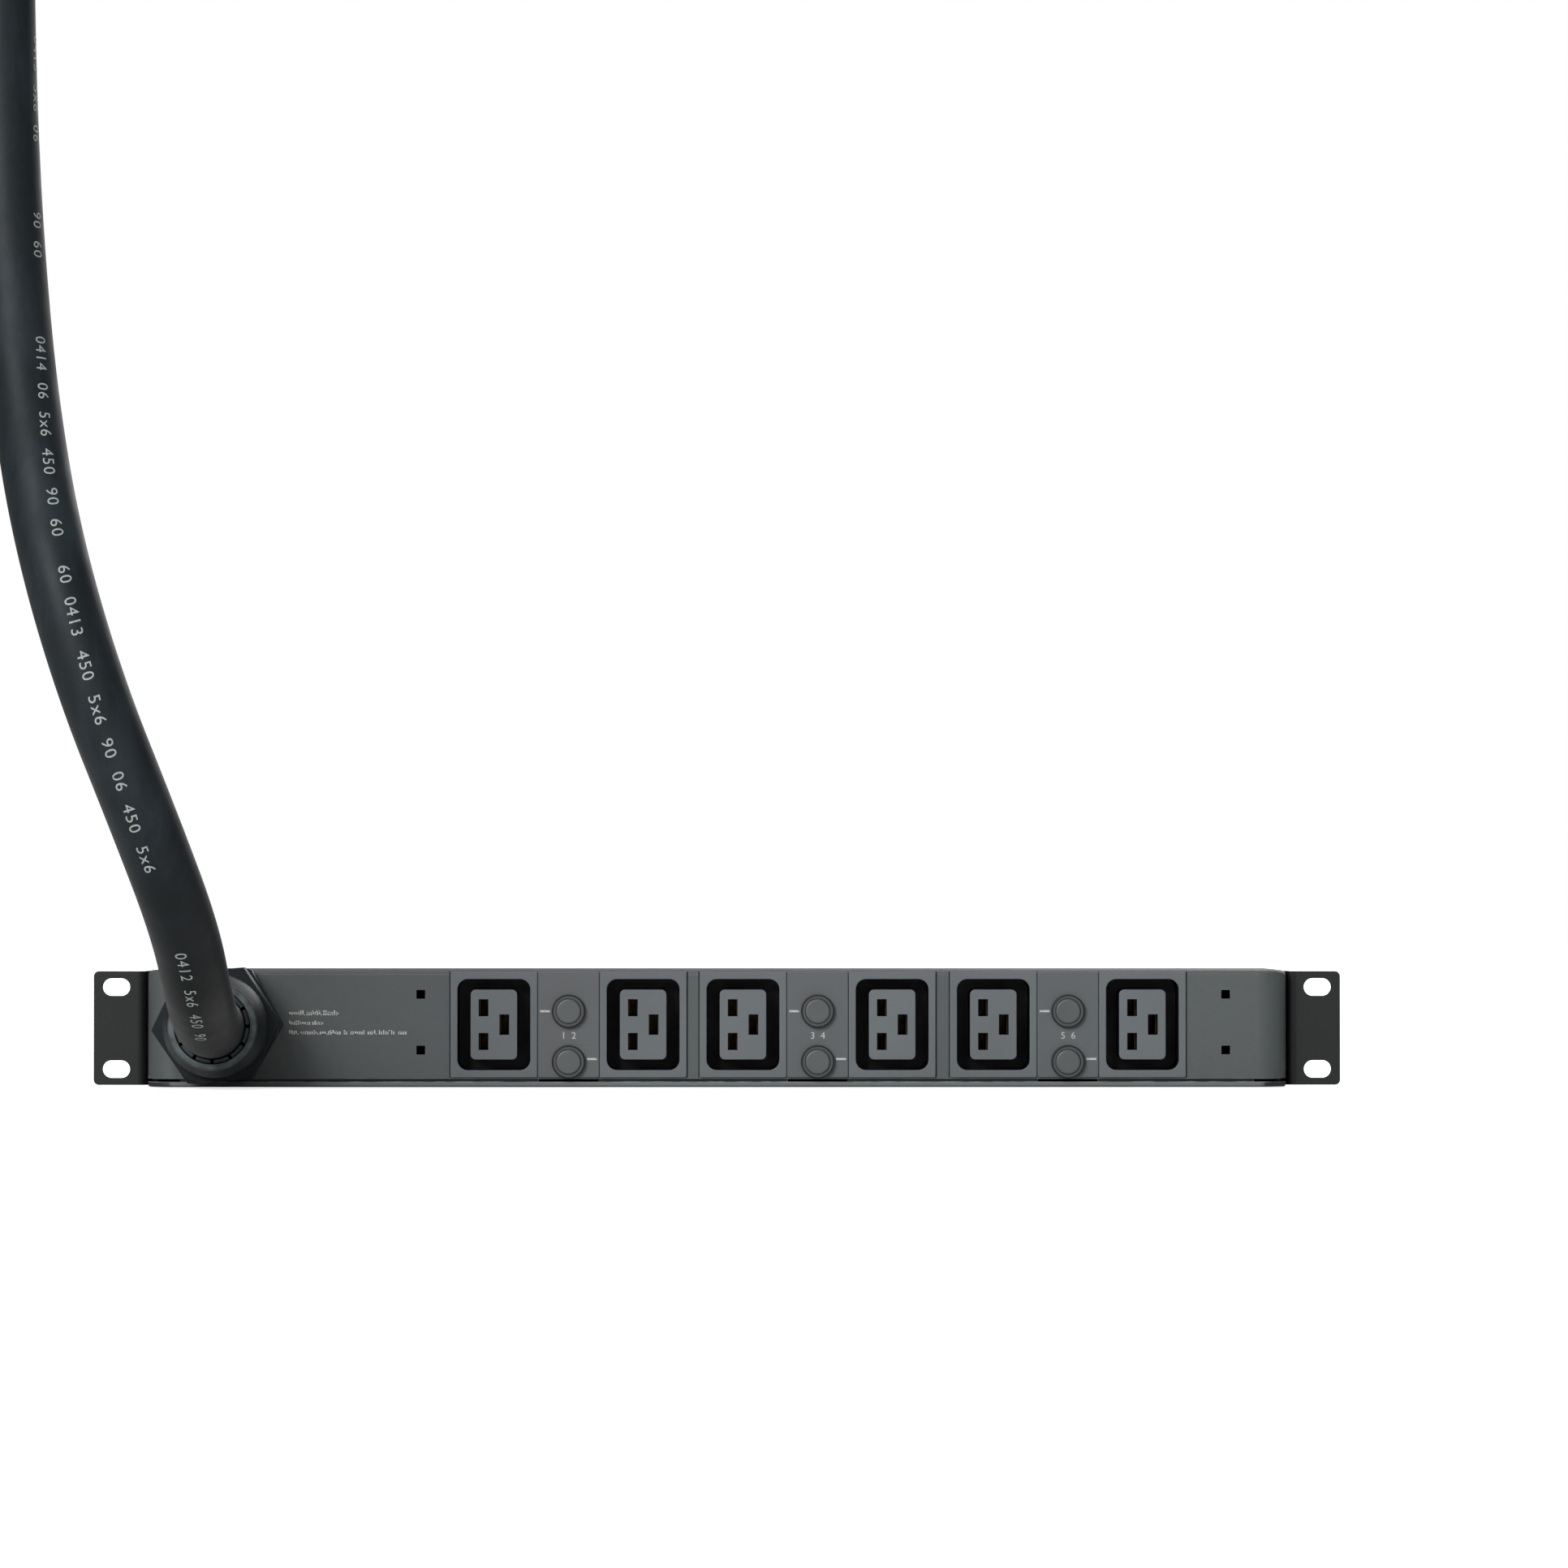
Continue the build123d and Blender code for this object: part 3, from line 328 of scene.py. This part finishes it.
def metal(name, colour, rough, brushed=(1, 1, 1)):
    """Plain metal with fine scratches and slight tarnish."""
    s = Shader(name)
    tarnish = s.span(s.noise(180, 5), 0.35, 0.7)
    base = s.blend(tarnish, colour, tuple(part * 0.72 for part in colour))
    scratch = s.bump(s.noise(2600, 3, 0.6, stretch=brushed), 0.00002, 0.7)
    level = s.cloud(400, 4, rough - 0.08, rough + 0.10)
    return s.set(Base_Color=base, Metallic=1.0, Roughness=level, Normal=scratch).material


def ink(name, colour):
    """Screen-printed ink, a little worn."""
    s = Shader(name)
    worn = s.span(s.noise(900, 5, 0.65), 0.50, 0.68)
    base = s.blend(s.math("MULTIPLY", worn, 0.55), colour, grey(0.10, COOL))
    return s.set(Base_Color=base, Roughness=0.6).material


def wire_cover(name, colour):
    """The shiny insulation of an inner wire."""
    s = Shader(name)
    base = s.blend(s.cloud(90, 3), colour, tuple(part * 0.8 for part in colour))
    return s.set(Base_Color=base, Roughness=0.35).material


def button_plastic():
    """The reset button: grey like the plate, with the pale band that shows when it has sprung out."""
    s = Shader("button_plastic")
    base = s.blend(s.cloud(60), grey(0.036, COOL), grey(0.045, COOL))
    inside = s.span(s.axis(1), BAND_FROM, BAND_FROM + EDGE_OF_PAINT)
    beyond = s.span(s.axis(1), BAND_TO, BAND_TO + EDGE_OF_PAINT)
    band = s.math("SUBTRACT", inside, beyond)
    base = s.blend(band, base, grey(BAND_TONE))
    grain = s.bump(s.noise(3000, 2), 0.00002, 0.5)
    level = s.cloud(90, 4, 0.38, 0.52)
    return s.set(Base_Color=base, Roughness=level, Normal=grain).material


# ---------------------------------------------------------------- materials

POWDER = powder_coat("powder_coat", 0.048)
# The tray's coat: a lighter copy with raised edge paling, a painted highlight on the lip, and painted shade
# behind the seam.
POWDER_TRAY_PAINTED_HIGHLIGHT = powder_coat("powder_coat_tray_painted_highlight", 0.086, seam_painted_shade, wear_and_highlight_share=0.9)
# The ears' coat: a much darker copy of the face's coat, with painted shade in the bend beside the case.
POWDER_EAR = powder_coat("powder_coat_ear", 0.0095, bend_painted_shade, gloss=0.2)
OUTLET = moulded("outlet_frame_plastic", 0.084, well=True, gloss=0.2)
ISLAND = moulded("outlet_island_plastic", 0.087, well=True, gloss=0.2)
PLATE = moulded("plate_plastic", 0.048)
BLACK = moulded("black_plastic", 0.022)
COLLAR = moulded("collar_plastic", 0.007, rough=(0.42, 0.52), wear=0.2, gloss=0.2)
BUTTON = button_plastic()
NYLON = nylon("gland_nylon", 0.0075)
NYLON_NUT = nylon("gland_nut_nylon", 0.0080, rim=True, gloss=0.14)
CLAWS = nylon("claw_nylon", 0.030)
RUBBER = rubber("cord_rubber", 0.0085)
SEAL = rubber("seal_rubber", 0.012)
BLACK_STEEL = metal("blackened_steel", (0.10, 0.10, 0.105), 0.40)
ZINC = metal("zinc_steel", (0.58, 0.58, 0.56), 0.34)
BRASS = metal("brass", (0.74, 0.55, 0.27), 0.30, brushed=(1, 0.1, 1))
SHADED_BRASS = metal("shaded_brass", (0.055, 0.045, 0.03), 0.45)
PLUG_BODY = moulded("plug_plastic", 0.030, rough=(0.36, 0.48), wear=0.5)
PLUG_SLEEVE = moulded("plug_sleeve_plastic", 0.11, tint=(0.92, 1.0, 1.1), rough=(0.34, 0.46))
WIRE_BLACK = wire_cover("wire_black", grey(0.02))
WIRE_BLUE = wire_cover("wire_blue", (0.03, 0.12, 0.42))
WIRE_GREEN = wire_cover("wire_green", (0.06, 0.30, 0.07))
PAINT = ink("printed_ink", grey(0.30, (1.0, 1.0, 0.95)))
CORD_INK = ink("cord_ink", grey(0.24, (0.90, 1.02, 1.0)))
# Painted shade: a near-black matt strip for the shade in the gaps beside the outlets.
GAP_SHADE = nylon("gap_shade", 0.008, gloss=0.1)

# The material of each CAD node, by its name without its number.
LOOKS = {
    "base_tray": POWDER_TRAY_PAINTED_HIGHLIGHT,
    "top_cover": POWDER,
    "bracket_left": POWDER_EAR,
    "bracket_right": POWDER_EAR,
    "bracket_screws": BLACK_STEEL,
    "cover_screws": BLACK_STEEL,
    "outlet_frame": OUTLET,
    "outlet_core": ISLAND,
    "outlet_contacts": SHADED_BRASS,
    "breaker_plate": PLATE,
    "breaker_button": BUTTON,
    "breaker_collars": COLLAR,
    "breaker_tabs": BRASS,
    "breaker": BLACK,
    "gland_body": NYLON,
    "gland_nut": NYLON_NUT,
    "gland_locknut": NYLON,
    "gland_clamp": CLAWS,
    "gland_seal": SEAL,
    "cord_tail": RUBBER,
    "plug_clamp": PLUG_BODY,
    "plug_shell": PLUG_BODY,
    "plug_sleeve": PLUG_SLEEVE,
    "plug_pins": BRASS,
    "terminal_block": BLACK,
    "terminal_screws": ZINC,
    "earth_stud": ZINC,
    "supply_wires": WIRE_BLACK,
    "line_wires": WIRE_BLACK,
    "load_wires": WIRE_BLACK,
    "neutral_wires": WIRE_BLUE,
    "earth_wires": WIRE_GREEN,
}

for name, node in nodes.items():
    look = LOOKS.get(name) or LOOKS.get(name.rstrip("0123456789").rstrip("_"))
    if look is None:
        continue
    node.data.materials.clear()
    node.data.materials.append(look)


# ---------------------------------------------------------------- mains cord

CORD_D = 0.025
# The route of the cord's solid to within two millimetres, as control points of one smooth line.
CORD_ROUTE = [
    mm(-191.7, -45.0, 1.55),
    mm(-191.7, -79.0, 1.55),
    mm(-191.9, -119.5, 12.2),
    mm(-194.6, -156.0, 38.5),
    mm(-207.6, -180.5, 77.5),
    mm(-226.6, -190.0, 126.5),
    mm(-242.6, -182.0, 179.5),
    mm(-253.0, -163.0, 232.0),
    mm(-259.5, -148.0, 288.0),
    mm(-263.0, -140.5, 342.0),
    mm(-264.5, -137.0, 397.0),
    mm(-265.0, -136.0, 452.0),
    mm(-265.0, -136.0, 506.0),
]


CURVE_STEPS = 16
CURVE_SIDES = 10


def smooth_curve(name, points, radius):
    """A NURBS curve with the points as its control points."""
    data = bpy.data.curves.new(name, "CURVE")
    data.dimensions = "3D"
    data.resolution_u = CURVE_STEPS
    data.bevel_depth = radius
    data.bevel_resolution = CURVE_SIDES
    data.use_fill_caps = True
    spline = data.splines.new("NURBS")
    spline.points.add(len(points) - 1)
    for point, place in zip(spline.points, points):
        point.co = (*place, 1)
    spline.order_u = 3
    spline.use_endpoint_u = True
    return data


def curve_line(points):
    """The points along the smooth curve, read from the curve itself."""
    bare = bpy.data.objects.new("bare", smooth_curve("bare", points, 0))
    bpy.context.scene.collection.objects.link(bare)
    depsgraph = bpy.context.evaluated_depsgraph_get()
    line = bpy.data.meshes.new_from_object(bare.evaluated_get(depsgraph))
    found = [vertex.co.copy() for vertex in line.vertices]
    bpy.data.objects.remove(bare)
    bpy.data.meshes.remove(line)
    return found


cord_data = smooth_curve("mains_cord_look", CORD_ROUTE, CORD_D / 2)
cord_data.materials.append(RUBBER)
cord = link("mains_cord_look", cord_data)
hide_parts("mains_cord")


# ---------------------------------------------------------------- print along the cord

PRINT_LIFT = 0.00006
PRINT_HEIGHT = 0.0044
PRINT_SPACING = 1.15
# Strips that a figure is cut into across its height, so that it bends round the cord.
PRINT_STRIPS = 8
# Generic counts and sizes, each row with the distance along the cord at which it starts.
PRINT_ROWS = [
    (0.118, "0412  5x6  450  90"),
    (0.262, "60  0413  450  5x6  90  06  450  5x6"),
    (0.352, "0414  06  5x6  450  90  60"),
    (0.402, "90  60"),
    (0.470, "0415  5x6  06"),
]
# Where the print lies round the cord near the gland, and how fast it turns per metre beyond a distance.
PRINT_LOW_ANGLE = math.radians(-20)
PRINT_TWIST = math.radians(335)
PRINT_TWIST_FROM = 0.165


# The share of the font's size that a figure is tall.
FIGURE_SHARE = 0.70


def text_mesh(words, height, spacing=1.0):
    """Flat figures of a given height, starting at the origin and centred across."""
    data = bpy.data.curves.new("words", "FONT")
    data.body = words
    data.size = height / FIGURE_SHARE
    data.align_y = "CENTER"
    data.space_character = spacing
    data.resolution_u = 3
    holder = bpy.data.objects.new("words", data)
    bpy.context.scene.collection.objects.link(holder)
    depsgraph = bpy.context.evaluated_depsgraph_get()
    flat = bpy.data.meshes.new_from_object(holder.evaluated_get(depsgraph))
    work = bmesh.new()
    work.from_mesh(flat)
    bpy.data.objects.remove(holder)
    bpy.data.meshes.remove(flat)
    return work


def add_flat(work, flat, place_of):
    """Adds a flat mesh to another with each vertex moved to its place, and frees it."""
    moved = {vertex: work.verts.new(place_of(vertex.co)) for vertex in flat.verts}
    for face in flat.faces:
        work.faces.new([moved[vertex] for vertex in face.verts])
    flat.free()


class Track:
    """A line with its running length and a frame that doesn't twist, from its last point back."""

    def __init__(self, points, first_side):
        self.points = points
        self.ways = [(b - a).normalized() for a, b in zip(points, points[1:])]
        self.ways.append(self.ways[-1])
        self.run = [0.0]
        for a, b in zip(points, points[1:]):
            self.run.append(self.run[-1] + (b - a).length)
        side = first_side
        sides = []
        for way in reversed(self.ways):
            side = (side - way * side.dot(way)).normalized()
            sides.append(side)
        self.sides = list(reversed(sides))

    def at(self, distance):
        """The point, direction and side at a distance along the line."""
        index = 0
        while index < len(self.run) - 2 and self.run[index + 1] < distance:
            index += 1
        share = (distance - self.run[index]) / (self.run[index + 1] - self.run[index])
        place = self.points[index].lerp(self.points[index + 1], share)
        way = self.ways[index].lerp(self.ways[index + 1], share).normalized()
        side = self.sides[index].lerp(self.sides[index + 1], share)
        return place, way, (side - way * side.dot(way)).normalized()


def wrap_words(work, track, words, start):
    """Adds words to a mesh, printed on the cord and read towards the gland from a distance along it."""
    flat = text_mesh(words, PRINT_HEIGHT, PRINT_SPACING)
    for strip in range(1, PRINT_STRIPS):
        level = PRINT_HEIGHT * (strip / PRINT_STRIPS - 0.5)
        parts = flat.verts[:] + flat.edges[:] + flat.faces[:]
        bmesh.ops.bisect_plane(flat, geom=parts, plane_co=(0, level, 0), plane_no=(0, 1, 0))
    bmesh.ops.triangulate(flat, faces=flat.faces[:])
    radius = CORD_D / 2 + PRINT_LIFT

    def place_of(spot):
        distance = start - spot.x
        place, way, side = track.at(distance)
        angle = PRINT_LOW_ANGLE + PRINT_TWIST * max(0, distance - PRINT_TWIST_FROM) + spot.y / radius
        return place + (side * math.cos(angle) + way.cross(side) * math.sin(angle)) * radius

    add_flat(work, flat, place_of)


def cord_print(work):
    """All the rows of figures along the cord."""
    track = Track(curve_line(CORD_ROUTE), Vector((0, -1, 0)))
    for start, words in PRINT_ROWS:
        wrap_words(work, track, words, start)


printed = mesh_object("cord_print", cord_print, CORD_INK)


# ---------------------------------------------------------------- print on the front

INK_T = 0.00004
# Two outlets and two breakers make a bank.
BANK_COUNT = 3
# The leader lines: their thickness, start and end from the plate's edge, and lift over the button's middle.
LEADER_T = 0.0008
LEADER_EDGE = 0.0009
LEADER_REACH = 0.0047
LEADER_LIFTS = (0.0, 0.0011)
FIGURE_H = 0.0026


def leaders(bank):
    """The lines from a bank's breakers to its outlets: left from the upper one, right from the lower."""
    plate_low, plate_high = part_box(f"breaker_plate_{bank}")
    front = plate_low.y
    rows = []
    for number, side, lift in ((2 * bank - 1, -1, LEADER_LIFTS[0]), (2 * bank, 1, LEADER_LIFTS[1])):
        low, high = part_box(f"breaker_button_{number}")
        edge = plate_low.x if side < 0 else plate_high.x
        rows.append((edge - side * LEADER_EDGE, edge - side * LEADER_REACH, (low.z + high.z) / 2 + lift))

    def build(work):
        for first, last, level in rows:
            low = Vector((min(first, last), front - INK_T, level - LEADER_T / 2))
            high = Vector((max(first, last), front - INK_T / 4, level + LEADER_T / 2))
            add_plate(work, low, high)

    return mesh_object(f"leader_lines_{bank}", build, PAINT)


def figures(bank):
    """The numbers of the two breakers of a bank, between them."""
    plate_low, plate_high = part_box(f"breaker_plate_{bank}")
    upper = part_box(f"breaker_button_{2 * bank - 1}")[0].z
    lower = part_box(f"breaker_button_{2 * bank}")[1].z
    level = (upper + lower) / 2 + FIGURE_H * 0.1

    def build(work):
        flat = text_mesh(f"{2 * bank - 1}  {2 * bank}", FIGURE_H)
        width = max(vertex.co.x for vertex in flat.verts)
        left = (plate_low.x + plate_high.x) / 2 - width / 2
        add_flat(work, flat, lambda spot: Vector((left + spot.x, plate_low.y - INK_T, level + spot.y)))

    return mesh_object(f"breaker_numbers_{bank}", build, PAINT)


for bank in range(1, BANK_COUNT + 1):
    for piece in (leaders(bank), figures(bank)):
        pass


GAP_LINE_W = 0.00042
# How far the line stands off the face, and how deep it goes.
GAP_LINE_T = 0.00003


def gap_shade_lines():
    """A dark strip on the face down the open side of each outlet's flange: painted shade in the gap."""
    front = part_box("top_cover")[0].y

    def build(work):
        for outlet in range(1, 2 * BANK_COUNT + 1):
            low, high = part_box(f"outlet_frame_{outlet}")
            edge = low.x - GAP_LINE_W if outlet % 2 else high.x
            near = Vector((edge, front - GAP_LINE_T, low.z))
            add_plate(work, near, Vector((edge + GAP_LINE_W, front + GAP_LINE_T, high.z)))

    return mesh_object("outlet_gap_lines", build, GAP_SHADE)


gap_shade_lines()


# The label: its left edge (X), the gap between words, and each row's level, height and word widths.
LABEL_LEFT = -0.1650
LABEL_GAP = 0.0014
LABEL_ROWS = [
    (0.0061, 0.0019, [0.0053, 0.0050, 0.0051]),
    (0.0023, 0.0016, [0.0075, 0.0033]),
    (-0.0014, 0.0017, [0.0030, 0.0060, 0.0018, 0.0046, 0.0012, 0.0052, 0.0030, 0.0033, 0.0014, 0.0028]),
]
# The strokes that make up a word.
STROKE_W = 0.00044
STROKE_PITCH = 0.00062


def label():
    """Generic illegible small print on the blank left end of the face: fine strokes in word-shaped groups."""
    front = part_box("top_cover")[0].y
    dice = random.Random(7)

    def build(work):
        for level, height, words in LABEL_ROWS:
            left = LABEL_LEFT
            for width in words:
                place = left
                while place < left + width:
                    tall = height * dice.choice((0.68, 0.68, 1.0))
                    wide = STROKE_W * dice.uniform(0.9, 1.5)
                    base = level - height / 2
                    low = Vector((place, front - INK_T, base))
                    add_plate(work, low, Vector((place + wide, front - INK_T / 4, base + tall)))
                    if dice.random() < 0.6:
                        bar = base + tall * dice.choice((0.0, 0.4, 0.8))
                        high = Vector((place + STROKE_PITCH + wide, front - INK_T / 4, bar + STROKE_W * 0.8))
                        add_plate(work, Vector((place, front - INK_T, bar)), high)
                    place += STROKE_PITCH + wide * 0.4
                left += width + LABEL_GAP

    return mesh_object("face_label", build, PAINT)


label()


# ---------------------------------------------------------------- stage and light

FLOOR_GAP = 0.0005
FLOOR_R = 11.0
# Light that the floor gives off to the camera alone, so that it stays white.
FLOOR_GLOW = 0.78
# The sky's light at two heights of the view direction.
SKY_LOW = 0.08
SKY_HIGH = 0.32
SKY_LOW_AT = -0.2
SKY_HIGH_AT = 0.9
# Each lamp's name, place, size in metres and power in watts.
LAMPS = [
    ("key", (-2.3, -4.5, 2.4), 2.8, 395),
    ("fill", (1.6, -4.8, 1.0), 3.0, 30),
    ("top", (0.4, 0.8, 5.0), 3.0, 100),
    ("rear", (2.0, 4.6, 2.4), 3.0, 120),
]


def floor_material():
    """A matt white floor that stays white up to the horizon, with only the strip's own soft shadow on it."""
    s = Shader("floor_white")
    seen = s.node("ShaderNodeLightPath").outputs["Is Camera Ray"]
    glow = s.math("MULTIPLY", seen, FLOOR_GLOW)
    cloth = s.blend(s.cloud(3, 2), grey(0.80), grey(0.84))
    s.set(Base_Color=cloth, Roughness=0.95, Specular_IOR_Level=0.0)
    s.set(Emission_Color=(1, 1, 1, 1), Emission_Strength=glow)
    return s.material


def lay_floor():
    """A wide pale floor that the strip stands on."""
    data = bpy.data.meshes.new("floor")
    work = bmesh.new()
    bmesh.ops.create_circle(work, cap_ends=True, segments=96, radius=FLOOR_R)
    work.to_mesh(data)
    work.free()
    data.materials.append(floor_material())
    disc = bpy.data.objects.new("floor", data)
    bpy.context.scene.collection.objects.link(disc)
    disc.location.z = cad_low[2] - FLOOR_GAP


def paint_sky():
    """A white background that lights the scene much more dimly than it looks, and mostly from above."""
    world = bpy.data.worlds.new("world")
    world.use_nodes = True
    tree = world.node_tree
    add = tree.nodes.new
    join = tree.links.new
    height = add("ShaderNodeSeparateXYZ")
    join(add("ShaderNodeTexCoord").outputs["Generated"], height.inputs[0])
    level = add("ShaderNodeMapRange")
    join(height.outputs["Z"], level.inputs["Value"])
    level.inputs["From Min"].default_value = SKY_LOW_AT
    level.inputs["From Max"].default_value = SKY_HIGH_AT
    level.inputs["To Min"].default_value = SKY_LOW
    level.inputs["To Max"].default_value = SKY_HIGH
    seen = add("ShaderNodeMix")
    join(add("ShaderNodeLightPath").outputs["Is Camera Ray"], seen.inputs["Factor"])
    join(level.outputs[0], seen.inputs["A"])
    seen.inputs["B"].default_value = 1.0
    join(seen.outputs[0], tree.nodes["Background"].inputs["Strength"])
    tree.nodes["Background"].inputs["Color"].default_value = (1, 1, 1, 1)
    bpy.context.scene.world = world


def lamp(name, place, size, power):
    """A soft square lamp that points at the strip."""
    data = bpy.data.lights.new(name, "AREA")
    data.shape = "SQUARE"
    data.size = size
    data.energy = power
    made = bpy.data.objects.new(name, data)
    bpy.context.scene.collection.objects.link(made)
    made.location = place
    made.rotation_mode = "QUATERNION"
    made.rotation_quaternion = (-Vector(place)).to_track_quat("-Z", "Y")


lay_floor()
paint_sky()
for settings in LAMPS:
    lamp(*settings)
bpy.context.scene.view_settings.view_transform = "Standard"
